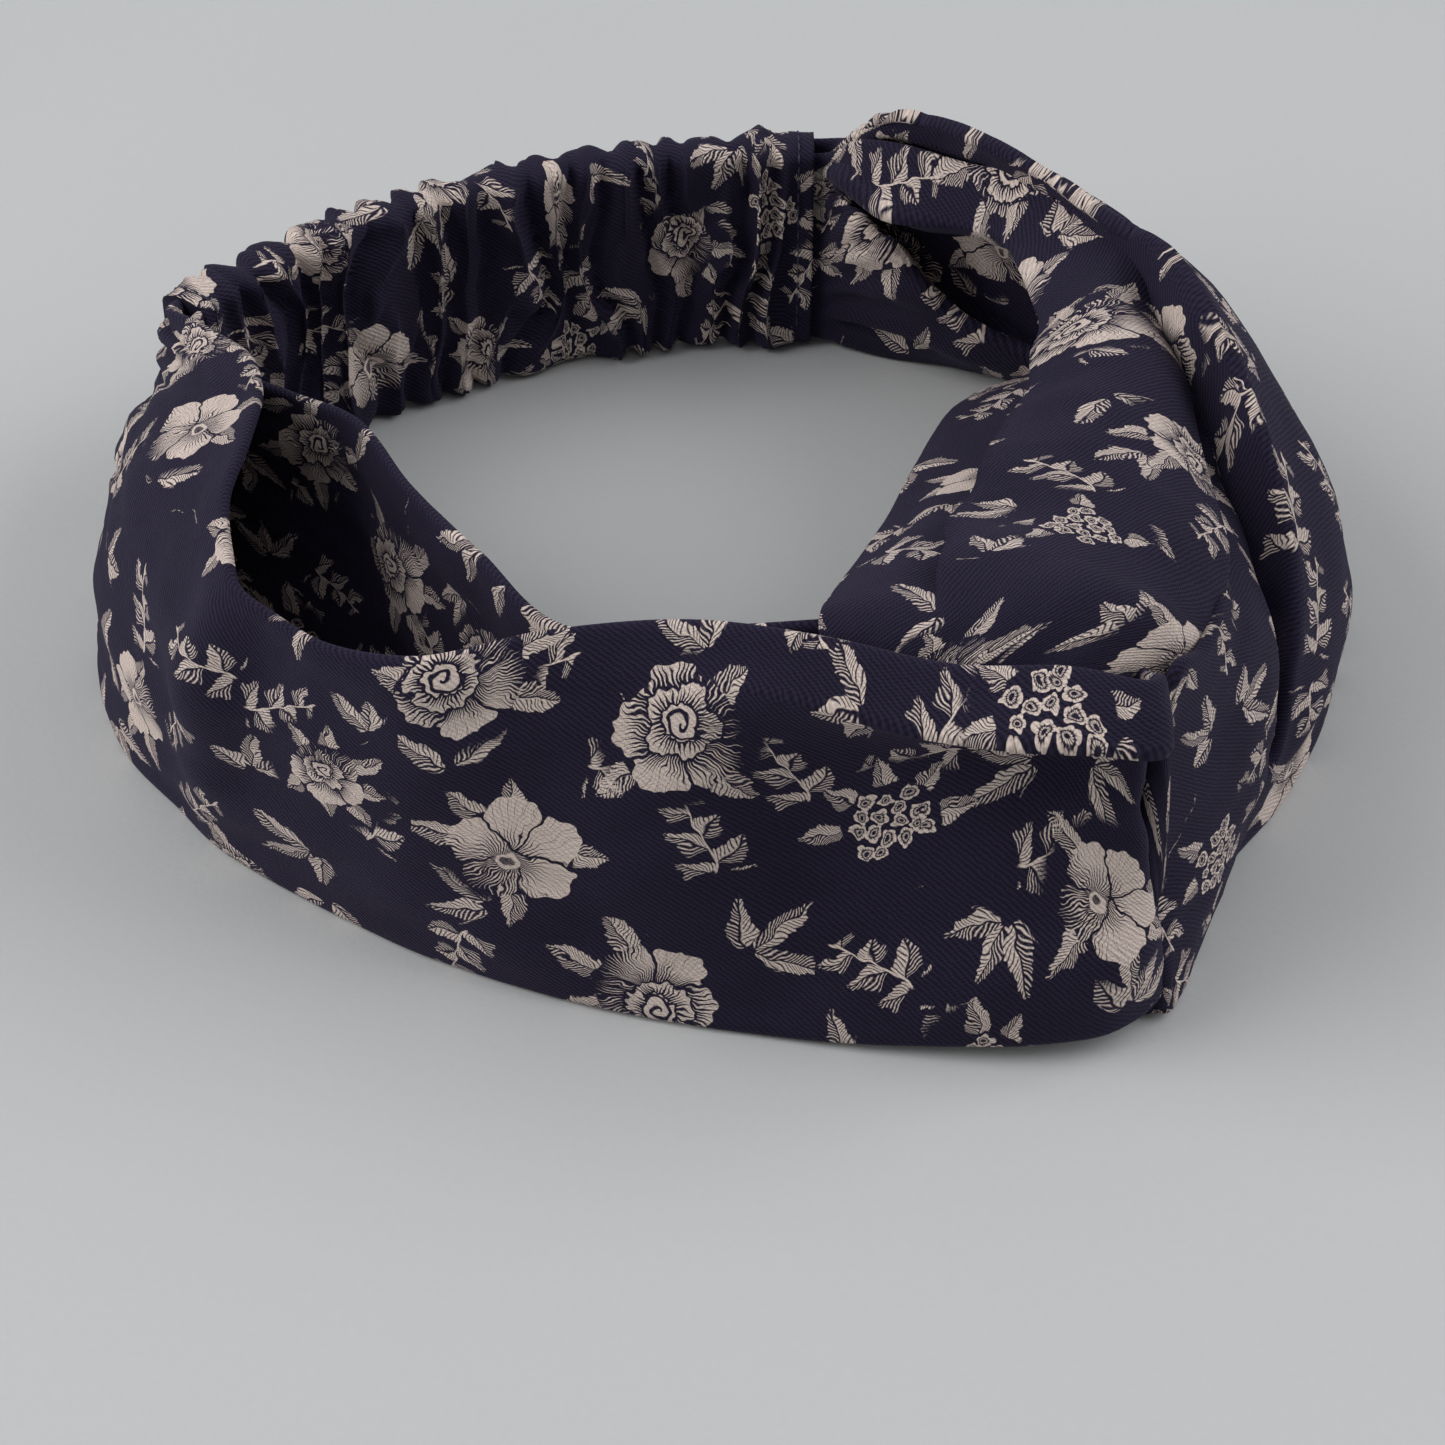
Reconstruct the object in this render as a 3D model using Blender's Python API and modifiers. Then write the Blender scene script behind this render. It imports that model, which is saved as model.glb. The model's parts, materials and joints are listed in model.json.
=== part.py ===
"""Knotted fabric headband: two flattened cloth tubes, each folded in a U and hooked through the other.

The ring stands on its edge on z = 0, with +X to the right, +Y to the back and +Z up. The left band's U
closes at the front right, around the knot; the right band's U closes inside the left band's U. At the
back, the four band ends are sewn into the two ends of a ruched casing, which holds a flat elastic.
"""

import math

import bmesh
import bpy
from mathutils import Matrix, Vector

MM = 0.001

# The casing's centre line, seen from above, is an arc; its ends are the two joins.
ARC_X, ARC_Y = 16.5 * MM, -32.2 * MM
ARC_RADIUS = 119.3 * MM
LEFT_JOIN = math.radians(143.9)
RIGHT_JOIN = math.radians(89.8)

CASING_HEIGHT = 38.0 * MM
CASING_HALF = 2.6 * MM          # half thickness in the middle
CASING_END_HALF = 4.6 * MM      # half thickness where the band ends are sewn in
CASING_CORNER = 1.2 * MM
CASING_STATIONS = 15
CLOTH = 0.6 * MM                # wall of every cloth tube

BAND_HALF = 1.5 * MM            # half thickness of a flattened band
BAND_END_HALF = 1.05 * MM
BAND_CORNER = 0.6 * MM
TUCK = 8.0 * MM                 # length of band inside the casing's end
MOUTH = 2.0 * MM                # straight length of band just outside the casing's end
END_OFFSET = 2.5 * MM           # from the casing's centre line to a band end's middle
END_LOW = 1.6 * MM
END_HIGH = 36.4 * MM

ELASTIC_WIDTH = 30.0 * MM
ELASTIC_HALF = 0.45 * MM

THREAD = 0.18 * MM              # radius of the sewing thread
GAP = 0.3 * MM
STITCH = 2.6 * MM               # length of one stitch

CASING_GRIP = 1.3 * TUCK        # length of the casing's end at full thickness
CASING_EASE = 1.5 * TUCK        # length over which it thins
CASING_SEAM_HEIGHT = 0.2 * CASING_HEIGHT
CASING_SEAM_SKIP = 3            # stations without the casing's seam at each end

TOPSTITCH_LOW = 3.0 * MM        # height of its first stitch
TOPSTITCH_INSET = 3.0 * MM      # from the casing's end
TOPSTITCH_SWAY = 0.5 * MM
TOPSTITCH_SHOULDER = 1.2 * MM

ANCHOR_MARGIN = 7.0 * MM        # height of the zigzag's first point
ANCHOR_POINTS = 13
ANCHOR_INSET = 2.5 * MM         # from the casing's end
ANCHOR_WIDTH = 3.0 * MM

# Everything is drawn about the ring's middle; the footprint's exact centre goes to the world's origin.
FOOTPRINT_CENTRE = Vector((1.87, 1.96, 0.0)) * MM
KNOT_PIVOT = Vector((37.0, -69.5, 30.0)) * MM   # the two loops turn about a vertical axis here

COLLECTION = "knotted_headband"

# Stations of the left band in millimetres: lower edge, middle, upper edge.
LEFT_FRONT_LEG = [
    ((-86.5, 25, 0), (-85.0, 25, 22), (-74, 27, 41)),
    ((-88.5, 12, 0), (-85.5, 12, 24), (-66, 14, 44)),
    ((-89.0, -1, 0), (-85.0, -1, 25), (-63, 0, 47)),
    ((-88.0, -15, 0), (-83.5, -17, 25), (-63, -15, 49)),
    ((-82.0, -28, 0), (-79.0, -34, 25), (-63, -32, 50)),
    ((-74.0, -38, 0), (-71.0, -46, 25), (-60, -49, 49)),
    ((-65.0, -46, 0), (-62.0, -56, 25), (-56, -61, 49)),
    ((-52.0, -57, 0), (-50.0, -64, 25), (-47, -68, 50)),
    ((-36.0, -67, 0), (-35.0, -71, 26), (-34, -68, 52)),
    ((-19.0, -75, 0), (-18.0, -74, 27), (-18, -65, 54)),
    ((-2.0, -80, 0), (-2.0, -76, 28), (-1, -66, 56)),
    ((14.0, -84, 1.5), (14.0, -78, 29), (14, -72, 57)),
    ((30.0, -87, 4.4), (30.0, -81, 30), (31, -80, 57)),
    ((44.0, -87, 4.8), (44.0, -82, 31), (45, -83, 57)),
]
LEFT_BEND = [
    ((56.0, -84, 4.8), (54.0, -80, 31), (54, -82, 56)),
    ((62.5, -78, 4.8), (60.0, -75, 31), (59, -76, 55)),
    ((63.5, -71, 4.8), (61.0, -69, 31), (60, -69, 54)),
    ((60.0, -63, 4.8), (58.0, -62, 31), (57, -61, 52)),
]
LEFT_BACK_LEG = [
    ((50.0, -59, 4.8), (49.0, -59, 30), (48, -57, 51)),
    ((36.0, -58, 4.6), (36.0, -58, 28), (34, -56, 50)),
    ((18.0, -59, 2.2), (18.0, -58, 26), (16, -57, 49)),
    ((0.0, -57, 0.6), (0.0, -56, 24), (-2, -56, 47)),
    ((-15.0, -50, 0), (-16.0, -50, 23), (-17, -53, 45)),
    ((-28.0, -36, 0), (-29.0, -36, 22), (-31, -35, 44)),
    ((-41.0, -18, 0), (-42.0, -17, 21), (-41, -18, 42)),
    ((-53.0, -1, 0), (-54.0, 1, 20), (-52, 2, 40)),
    ((-64.0, 13, 0), (-65.0, 14, 19), (-62, 13, 38)),
    ((-75.0, 23, 0.8), (-75.0, 23, 19), (-73, 22, 37)),
]

# Stations of the right band in millimetres: inner edge, middle, outer edge.
RIGHT_INNER_LEG = [
    ((29, 81.5, 0.8), (29, 80.5, 19), (29, 81, 38)),
    ((42, 75, 2), (41, 70, 22), (44, 71, 42)),
    ((50, 62, 9), (50, 57, 28), (54, 60, 45)),
    ((47, 42, 20), (54, 42, 37), (62, 46, 48)),
    ((38, 20, 29), (49, 22, 43), (65, 26, 50)),
    ((32, -2, 36), (45, 0, 47), (66, 4, 52)),
    ((27, -22, 43), (43, -22, 50), (66, -20, 53)),
    ((22, -42, 51), (41, -42, 54), (63, -40, 55)),
]
RIGHT_BEND = [
    ((19, -56, 55), (38, -57, 56.5), (58, -55, 57.5)),
    ((19, -64, 53), (37, -65, 53.5), (54, -64, 54)),
    ((20, -67, 44), (37, -68, 44), (53, -67, 44)),
    ((21, -69, 30), (37, -69, 30), (53, -69, 30)),
    ((23, -69, 15), (38, -69.5, 16), (52, -69.5, 17)),
    ((30, -72, 5.5), (41, -70.5, 6.5), (50.5, -68.5, 7.5)),
    ((42, -76, 1.8), (48, -71, 1.6), (55, -65, 1.8)),
    ((58, -78, 1.7), (60, -69, 1.6), (62, -59, 1.6)),
]
RIGHT_OUTER_LEG = [
    ((69, -70, 1.5), (69, -62, 2.5), (68, -52, 4)),
    ((77, -53, 1.0), (75, -50, 8), (69, -43, 13)),
    ((84, -38, 0), (83, -38, 12), (72, -36, 23)),
    ((89, -24, 0), (88, -26, 18), (75, -26, 34)),
    ((91, -8, 0), (91, -10, 24), (76, -12, 44)),
    ((91, 8, 0), (90, 6, 27), (74, 4, 50)),
    ((87, 24, 0), (85, 22, 28), (71, 20, 53)),
    ((78, 43, 0), (75, 42, 28), (65, 38, 53)),
    ((65, 61, 0), (63, 60, 27), (57, 55, 51)),
    ((49, 76, 0), (48, 75, 25), (43, 71, 49)),
    ((32, 87, 0.6), (32, 86, 22), (29, 84, 44)),
]


def clear_scene():
    for obj in list(bpy.data.objects):
        bpy.data.objects.remove(obj, do_unlink=True)


def material(name, colour, roughness):
    mat = bpy.data.materials.new(name)
    mat.use_nodes = True
    shader = mat.node_tree.nodes["Principled BSDF"]
    shader.inputs["Base Color"].default_value = (*colour, 1.0)
    shader.inputs["Roughness"].default_value = roughness
    shader.inputs["Metallic"].default_value = 0.0
    return mat


def printed_cotton():
    return material("printed_navy_cotton", (0.026, 0.024, 0.060), 0.85)


def casing_cotton():
    return material("ruched_navy_cotton", (0.022, 0.021, 0.052), 0.88)


def elastic_webbing():
    return material("white_elastic", (0.78, 0.76, 0.72), 0.7)


def sewing_thread():
    return material("navy_thread", (0.020, 0.018, 0.045), 0.6)


def arc_point(angle, offset, height):
    """A point at an offset outside the casing's centre line."""
    reach = ARC_RADIUS + offset
    return Vector((ARC_X + reach * math.cos(angle), ARC_Y + reach * math.sin(angle), height))


def end_station(angle, side):
    """A band end's section, flat beside the elastic; side is +1 outside it and -1 inside it."""
    middle = (END_LOW + END_HIGH) / 2
    return [arc_point(angle, side * END_OFFSET, z) for z in (END_LOW, middle, END_HIGH)]


def in_metres(stations):
    return [[Vector(point) * MM for point in station] for station in stations]


def halved(stations):
    """The stations with one more between each two, on a smooth curve through them."""
    result = []
    for i in range(len(stations) - 1):
        before = stations[max(i - 1, 0)]
        after = stations[min(i + 2, len(stations) - 1)]
        rows = zip(before, stations[i], stations[i + 1], after)
        between = [(b + c) * 0.5625 - (a + d) * 0.0625 for a, b, c, d in rows]
        result += [stations[i], between]
    return result + [stations[-1]]


def band_stations(join, inward, first_side, free):
    """A band's stations from its first tucked end, round its U, to its second tucked end."""
    tucked = join + inward * TUCK / ARC_RADIUS
    mouth = join - inward * MOUTH / ARC_RADIUS
    leg_out = [end_station(tucked, first_side), end_station(mouth, first_side)]
    leg_back = [end_station(mouth, -first_side), end_station(tucked, -first_side)]
    return leg_out[:1] + halved(leg_out[1:] + in_metres(free) + leg_back[:1]) + leg_back[1:]


def left_stations():
    return band_stations(LEFT_JOIN, -1, 1, LEFT_FRONT_LEG + LEFT_BEND + LEFT_BACK_LEG)


def right_stations():
    return band_stations(RIGHT_JOIN, 1, -1, RIGHT_INNER_LEG + RIGHT_BEND + RIGHT_OUTER_LEG)


def across(station, t):
    """A point and the direction of the width at t, from 0 at the first edge to 1 at the last."""
    low, mid, high = station
    point = low * (2 * t - 1) * (t - 1) + mid * 4 * t * (1 - t) + high * t * (2 * t - 1)
    slope = low * (4 * t - 3) + mid * (4 - 8 * t) + high * (4 * t - 1)
    return point, slope.normalized()


def travel(stations, index):
    """The direction in which a strip runs at a station; the tucked lengths are straight."""
    last = len(stations) - 1
    before = max(index - 1, 0)
    after = min(index + 1, last)
    if index == 1:
        after = 1
    if index == last - 1:
        before = last - 1
    return (stations[after][1] - stations[before][1]).normalized()


def oval_section(station, ahead, half, corner):
    """A flattened tube's closed outline: two broad faces, joined by a chamfered edge at each side."""
    faces = {1: [], -1: []}
    for t in (0.0, 0.25, 0.5, 0.75, 1.0):
        point, width = across(station, t)
        normal = ahead.cross(width).normalized()
        inset = corner * ((t == 0.0) - (t == 1.0))
        for side in faces:
            faces[side].append(point + width * inset + normal * side * half)
        if t == 0.0:
            low_edge = [point - normal * (half - corner), point + normal * (half - corner)]
        if t == 1.0:
            high_edge = [point + normal * (half - corner), point - normal * (half - corner)]
    if station[0].z == 0.0:
        for corner_point in low_edge:
            corner_point.z = 0.0
    outline = low_edge + faces[1] + high_edge + list(reversed(faces[-1]))
    for point in outline:
        point.z = max(point.z, 0.0)
    return outline


def loft(name, outlines, mat, capped):
    """A skin through closed outlines that all have the same number of points."""
    mesh = bpy.data.meshes.new(name)
    bm = bmesh.new()
    rings = [[bm.verts.new(point) for point in outline] for outline in outlines]
    count = len(rings[0])
    for ring, following in zip(rings, rings[1:]):
        for i in range(count):
            j = (i + 1) % count
            bm.faces.new((ring[i], following[i], following[j], ring[j]))
    if capped:
        bm.faces.new(rings[0])
        bm.faces.new(list(reversed(rings[-1])))
    bm.to_mesh(mesh)
    bm.free()
    mesh.materials.append(mat)
    obj = bpy.data.objects.new(name, mesh)
    parts.objects.link(obj)
    return obj


def make_hollow(obj):
    wall = obj.modifiers.new("cloth", "SOLIDIFY")
    wall.thickness = CLOTH
    wall.offset = -1.0


def thread(name, points, mat):
    """One sewing thread along a list of points."""
    curve = bpy.data.curves.new(name, "CURVE")
    curve.dimensions = "3D"
    spline = curve.splines.new("POLY")
    spline.points.add(len(points) - 1)
    for target, point in zip(spline.points, points):
        target.co = (*point, 1.0)
    curve.bevel_depth = THREAD
    curve.bevel_resolution = 1
    curve.use_fill_caps = True
    curve.materials.append(mat)
    obj = bpy.data.objects.new(name, curve)
    parts.objects.link(obj)
    return obj


def band(name, stations, mat):
    outlines = []
    last = len(stations) - 1
    for i, station in enumerate(stations):
        at_end = i < 2 or i > last - 2
        half = BAND_END_HALF if at_end else BAND_HALF
        outlines.append(oval_section(station, travel(stations, i), half, BAND_CORNER))
    make_hollow(loft(name, outlines, mat, capped=False))


def band_seam(name, stations, mat):
    """The lockstitch that closes a band's tube, hidden inside it along the middle."""
    thread(name, [station[1] for station in stations[1:-1]], mat)


def casing_angle(share):
    return LEFT_JOIN + (RIGHT_JOIN - LEFT_JOIN) * share


def casing_half(share):
    """The casing's half thickness, full over both ends and thin between them."""
    from_end = min(share, 1 - share) * ARC_RADIUS * (LEFT_JOIN - RIGHT_JOIN)
    blend = min(max((from_end - CASING_GRIP) / CASING_EASE, 0.0), 1.0)
    return CASING_END_HALF + (CASING_HALF - CASING_END_HALF) * blend


def upright_station(angle, low, high):
    return [arc_point(angle, 0.0, z) for z in (low, (low + high) / 2, high)]


def arc_outlines(low, high, half_at, corner, count):
    """Upright outlines along the casing's arc."""
    outlines = []
    for i in range(count):
        share = i / (count - 1)
        angle = casing_angle(share)
        ahead = Vector((math.sin(angle), -math.cos(angle), 0.0))
        station = upright_station(angle, low, high)
        outlines.append(oval_section(station, ahead, half_at(share), corner))
    return outlines


def elastic_casing(mat):
    outlines = arc_outlines(0.0, CASING_HEIGHT, casing_half, CASING_CORNER, CASING_STATIONS)
    make_hollow(loft("elastic_casing", outlines, mat, capped=False))


def elastic_strip(mat):
    low = (CASING_HEIGHT - ELASTIC_WIDTH) / 2
    outlines = arc_outlines(
        low, low + ELASTIC_WIDTH, lambda share: ELASTIC_HALF, ELASTIC_HALF / 3, CASING_STATIONS
    )
    loft("elastic_strip", outlines, mat, capped=True)


def casing_seam(mat):
    """The lengthwise seam of the casing, inside it, between its outer wall and the elastic."""
    offset = (ELASTIC_HALF + CASING_HALF - CLOTH) / 2
    kept = range(CASING_SEAM_SKIP, CASING_STATIONS - CASING_SEAM_SKIP)
    shares = [i / (CASING_STATIONS - 1) for i in kept]
    points = [arc_point(casing_angle(share), offset, CASING_SEAM_HEIGHT) for share in shares]
    thread("casing_seam", points, mat)


def join_stitching(name, angle, inward, mat):
    """A topstitch up the casing end's inner face, over its top and down its outer face."""
    clear = CASING_END_HALF + GAP + 2 * THREAD
    low = TOPSTITCH_LOW
    top = CASING_HEIGHT + GAP + 2 * THREAD
    steps = round((top - low) / STITCH)
    side = [(-clear, low + (top - low) * i / steps) for i in range(steps)]
    shoulder = clear - TOPSTITCH_SHOULDER
    over = [(-shoulder, top), (0.0, top), (shoulder, top)]
    path = side + over + [(-offset, z) for offset, z in reversed(side)]
    points = []
    for i, (offset, z) in enumerate(path):
        sway = TOPSTITCH_SWAY * (-1) ** i
        along = angle + inward * (TOPSTITCH_INSET + sway) / ARC_RADIUS
        points.append(arc_point(along, offset, z))
    thread(name, points, mat)


def elastic_anchor(name, angle, inward, mat):
    """A zigzag that holds the elastic's end against the outer band end."""
    offset = (ELASTIC_HALF + END_OFFSET - BAND_END_HALF) / 2
    low = ANCHOR_MARGIN
    high = CASING_HEIGHT - ANCHOR_MARGIN
    points = []
    for i in range(ANCHOR_POINTS):
        z = low + (high - low) * i / (ANCHOR_POINTS - 1)
        along = angle + inward * (ANCHOR_INSET + ANCHOR_WIDTH * (i % 2)) / ARC_RADIUS
        points.append(arc_point(along, offset, z))
    thread(name, points, mat)


def empty(name, location, parent):
    obj = bpy.data.objects.new(name, None)
    parts.objects.link(obj)
    obj.location = location
    obj.parent = parent
    return obj


def hang(parent, pivot, names):
    """Parents pieces to an empty; pivot is where the empty stands in the drawing."""
    for name in names:
        obj = bpy.data.objects[name]
        obj.parent = parent
        obj.matrix_parent_inverse = Matrix.Translation(-pivot)


clear_scene()
parts = bpy.data.collections.new(COLLECTION)
bpy.context.scene.collection.children.link(parts)

printed = printed_cotton()
stitching = sewing_thread()

band("left_band", left_stations(), printed)
band("right_band", right_stations(), printed)
elastic_casing(casing_cotton())
elastic_strip(elastic_webbing())
band_seam("left_band_seam", left_stations(), stitching)
band_seam("right_band_seam", right_stations(), stitching)
casing_seam(stitching)
join_stitching("left_join_stitching", LEFT_JOIN, -1, stitching)
join_stitching("right_join_stitching", RIGHT_JOIN, 1, stitching)
elastic_anchor("left_elastic_anchor", LEFT_JOIN, -1, stitching)
elastic_anchor("right_elastic_anchor", RIGHT_JOIN, 1, stitching)

ring = empty("ring_centre", -FOOTPRINT_CENTRE, None)
knot = empty("knot_pivot", KNOT_PIVOT, ring)
left_names = ["left_band", "left_band_seam", "left_join_stitching", "left_elastic_anchor"]
back_names = ["elastic_casing", "elastic_strip", "casing_seam"]
right_names = ["right_band", "right_band_seam", "right_join_stitching", "right_elastic_anchor"]
hang(ring, Vector((0.0, 0.0, 0.0)), left_names + back_names)
hang(knot, KNOT_PIVOT, right_names)
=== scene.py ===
"""Looks of the knotted headband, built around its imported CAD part.

Two flattened tubes of printed cotton twill are folded in a U and hooked through each other. A ruched casing
over a flat elastic joins their ends at the back. Rails and sizes are in millimetres in a drawing frame whose
origin is near the middle of the ring, on the table; X points to the knot's side, Y to the elastic, Z up.
"""

import json
import math
from functools import partialmethod

import bpy
import numpy as np
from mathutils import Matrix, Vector, noise


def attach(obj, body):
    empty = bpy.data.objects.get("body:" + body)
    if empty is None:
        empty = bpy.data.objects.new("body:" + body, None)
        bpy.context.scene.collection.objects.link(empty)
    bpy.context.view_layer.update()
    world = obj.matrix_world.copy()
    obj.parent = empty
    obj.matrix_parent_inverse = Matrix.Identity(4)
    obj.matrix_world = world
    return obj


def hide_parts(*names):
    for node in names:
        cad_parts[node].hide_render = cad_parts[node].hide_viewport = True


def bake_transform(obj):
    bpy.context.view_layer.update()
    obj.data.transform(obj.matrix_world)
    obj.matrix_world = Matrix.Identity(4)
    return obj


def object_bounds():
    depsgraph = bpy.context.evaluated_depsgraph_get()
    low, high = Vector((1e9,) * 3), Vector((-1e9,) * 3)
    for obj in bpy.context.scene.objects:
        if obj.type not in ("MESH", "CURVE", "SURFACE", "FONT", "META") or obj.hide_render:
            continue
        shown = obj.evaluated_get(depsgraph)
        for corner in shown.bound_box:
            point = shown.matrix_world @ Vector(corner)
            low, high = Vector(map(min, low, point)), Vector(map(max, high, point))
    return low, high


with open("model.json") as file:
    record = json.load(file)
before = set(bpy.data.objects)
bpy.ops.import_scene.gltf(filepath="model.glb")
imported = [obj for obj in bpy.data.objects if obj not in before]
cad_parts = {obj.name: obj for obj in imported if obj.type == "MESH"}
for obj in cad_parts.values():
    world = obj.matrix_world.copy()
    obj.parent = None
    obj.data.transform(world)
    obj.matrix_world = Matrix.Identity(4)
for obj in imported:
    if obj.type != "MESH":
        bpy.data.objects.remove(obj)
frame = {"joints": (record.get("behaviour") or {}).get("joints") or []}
CAD_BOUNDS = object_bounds()

MM = 0.001
TAU = 2 * math.pi
UP = np.array([0.0, 0.0, 1.0])

# The knot's pivot as drawn, which places the drawing in the shared frame.
PIVOT_IN_DRAWING = (37.0, -69.5, 30.0)
PIVOT = Vector(frame["joints"][0]["pos_m"])
ORIGIN = np.array(PIVOT) - np.array(PIVOT_IN_DRAWING) * MM

# Bands, in mm. The width is that of the cloth when it lies flat.
BAND_WIDTH = 60.0
BAND_HALF = 0.85        # half thickness of the pressed tube
PUFF = 0.45             # how much thicker it is where it stands open a little
EDGE_ROLL = 1.3         # width over which a folded edge rounds off
EDGE_PLACES = (0.0, 0.25, 0.8, 1.7)
EDGE_MARGIN = 2.9       # where the even columns start
OUTER_COLUMNS = 21      # mesh columns from an edge to a crease
MIDDLE_COLUMNS = 19     # and between the creases
MESH_STEP = 1.3
RUN_POINTS = 120        # points in the dense polyline of a smooth run
END_TRIM = 6            # rows without a seam at a band's end
BAND_FLOWER_GAP = 27.0
BAND_SPRIG_GAP = 13.0
LEFT_SEED = 3
RIGHT_SEED = 14
CASING_SEED = 31
CASING_PRINT_SEED = 51

# Casing and elastic. The casing's middle line is an arc seen from above, from the left join to the right one.
CASING_CENTRE = (16.5, -32.2)
CASING_RADIUS = 119.3
LEFT_JOIN_DEG = 143.9
RIGHT_JOIN_DEG = 89.8
CASING_ARC = math.radians(LEFT_JOIN_DEG - RIGHT_JOIN_DEG) * CASING_RADIUS
CASING_BOTTOM = 0.2
CASING_HEIGHT = 38.0
CASING_HALF = 2.6       # half thickness in the middle
CASING_END_SWELL = 1.9  # and how much more at the joins, round the bands' ends
CASING_STEP = 0.5
CASING_FLOWER_GAP = 25.0
CASING_SPRIG_GAP = 11.5
STRETCH_START = 0.06    # the casing's lengthwise seam runs between these shares of the arc
STRETCH_END = 0.94
PLEATS = 16
PLEAT_DEPTH = 4.2
ELASTIC_LOW = 5.0
ELASTIC_HIGH = 34.0
ELASTIC_HALF = 0.45
ELASTIC_INSET = 0.02    # share of the arc at which it starts
ELASTIC_COLUMNS = 13
ELASTIC_WAVES = 9
ELASTIC_SWAY = 0.35

# Sewing thread.
THREAD_RADIUS = 0.16
THREAD_SIDES = 6
SEAM_STITCH = (2.6, 0.4)       # pitch, and the gap between two stitches
TOPSTITCH = (2.4, 0.5)
TOPSTITCH_SHARE = 0.022        # share of the arc from the casing's end to a join's topstitch
ZIGZAG_SHARE = 0.04            # and to its zigzag
ZIGZAG_HALF = 1.4
ZIGZAG_CORNERS = 16
STITCH_POINTS = 5


def to_world(points):
    """Drawing millimetres to the shared frame's metres."""
    return np.asarray(points, float) * MM + ORIGIN


# ------------ curves and grids


def travelled(points):
    """Distance from the first point to each point of a polyline."""
    steps = np.linalg.norm(np.diff(points, axis=0), axis=-1)
    return np.concatenate(([0.0], np.cumsum(steps)))


def smooth_through(points, knots, at):
    """Values at the places `at` of a smooth curve that passes through points at the places `knots`."""
    slopes = np.gradient(points, knots, axis=0)
    k = np.clip(np.searchsorted(knots, at, side="right") - 1, 0, len(knots) - 2)
    spread = (-1,) + (1,) * (points.ndim - 1)
    step = (knots[k + 1] - knots[k]).reshape(spread)
    t = (at - knots[k]).reshape(spread) / step
    blend_in = 3 * t**2 - 2 * t**3
    leave = (t**3 - 2 * t**2 + t) * step
    arrive = (t**3 - t**2) * step
    return (1 - blend_in) * points[k] + blend_in * points[k + 1] + leave * slopes[k] + arrive * slopes[k + 1]


def section_curve(points):
    """The smooth curve through points: a dense polyline, the share of its length at each of its points, and
    the shares of its creases. A point with a fourth value is a crease, where the curve may turn sharply; the
    value names it."""
    runs = [[]]
    names = []
    for point in points:
        runs[-1].append(point[:3])
        if len(point) > 3:
            runs.append([point[:3]])
            names.append(point[3])
    pieces = []
    for run in runs:
        run = np.array(run, float)
        knots = travelled(run)
        pieces.append(smooth_through(run, knots, np.linspace(0, knots[-1], RUN_POINTS)))
    dense = np.concatenate(pieces)
    share = travelled(dense)
    share = share / share[-1]
    return dense, share, dict(zip(names, share[RUN_POINTS - 1 :: RUN_POINTS]))


def unit(vectors):
    return vectors / np.linalg.norm(vectors, axis=-1, keepdims=True)


def ramp(value, low, high):
    """0 below low, 1 above high, smooth between."""
    t = np.clip((value - low) / (high - low), 0, 1)
    return t * t * (3 - 2 * t)


def rumple(u, v, size_u, size_v, seed):
    """Smooth noise over the cloth, from -1 to 1, with bumps of the given sizes in mm."""
    points = np.stack(np.broadcast_arrays(u / size_u, v / size_v), axis=-1)
    flat = [noise.noise(Vector((a, b, seed * 7.31))) for a, b in points.reshape(-1, 2)]
    return np.array(flat).reshape(points.shape[:-1])


# ------------ the print's layout


TRIES_PER_MOTIF = 60
NO_MOTIF = 90.0         # a place so far from any motif that it stays blank


def layout(length, around, spacing, seed):
    """Places motifs at random over a tube of cloth, no two nearer than spacing, as rows of (along, around,
    turn, kind)."""
    rng = np.random.default_rng(seed)
    placed = []
    tries = int(length * around / spacing**2 * TRIES_PER_MOTIF)
    for _ in range(tries):
        a = rng.uniform(0, length)
        b = rng.uniform(0, around)
        turn = rng.uniform(0, TAU)
        kind = rng.uniform(0, 1)
        gap = [math.hypot(a - p[0], (b - p[1] + around / 2) % around - around / 2) for p in placed]
        if not gap or min(gap) > spacing:
            placed.append((a, b, turn, kind))
    return np.array(placed)


def nearest_motif(along, about, around, motifs):
    """For each face's corners (faces, 4), the place in the nearest motif's own axes and the motif's kind."""
    face_a = along.mean(axis=1)
    face_b = about.mean(axis=1)
    da = face_a[:, None] - motifs[None, :, 0]
    db = (face_b[:, None] - motifs[None, :, 1] + around / 2) % around - around / 2
    best = np.argmin(da**2 + db**2, axis=1)
    start, _, turn, kind = motifs[best].T[:, :, None]
    local_a = along - start
    local_b = about - (face_b - db[np.arange(len(best)), best])[:, None]
    c = np.cos(turn)
    s = np.sin(turn)
    place = (local_a * c + local_b * s, local_b * c - local_a * s)
    return np.stack(np.broadcast_arrays(*place, kind), axis=-1)


# ------------ meshes


def new_object(name, verts, faces, material):
    mesh = bpy.data.meshes.new(name)
    mesh.from_pydata([tuple(v) for v in verts], [], faces)
    mesh.materials.append(material)
    for polygon in mesh.polygons:
        polygon.use_smooth = True
    mesh.validate()
    obj = bpy.data.objects.new(name, mesh)
    bpy.context.scene.collection.objects.link(obj)
    return obj


def corner_attribute(obj, name, values):
    attribute = obj.data.attributes.new(name, "FLOAT_VECTOR", "CORNER")
    attribute.data.foreach_set("vector", np.asarray(values, np.float32).ravel())


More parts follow.
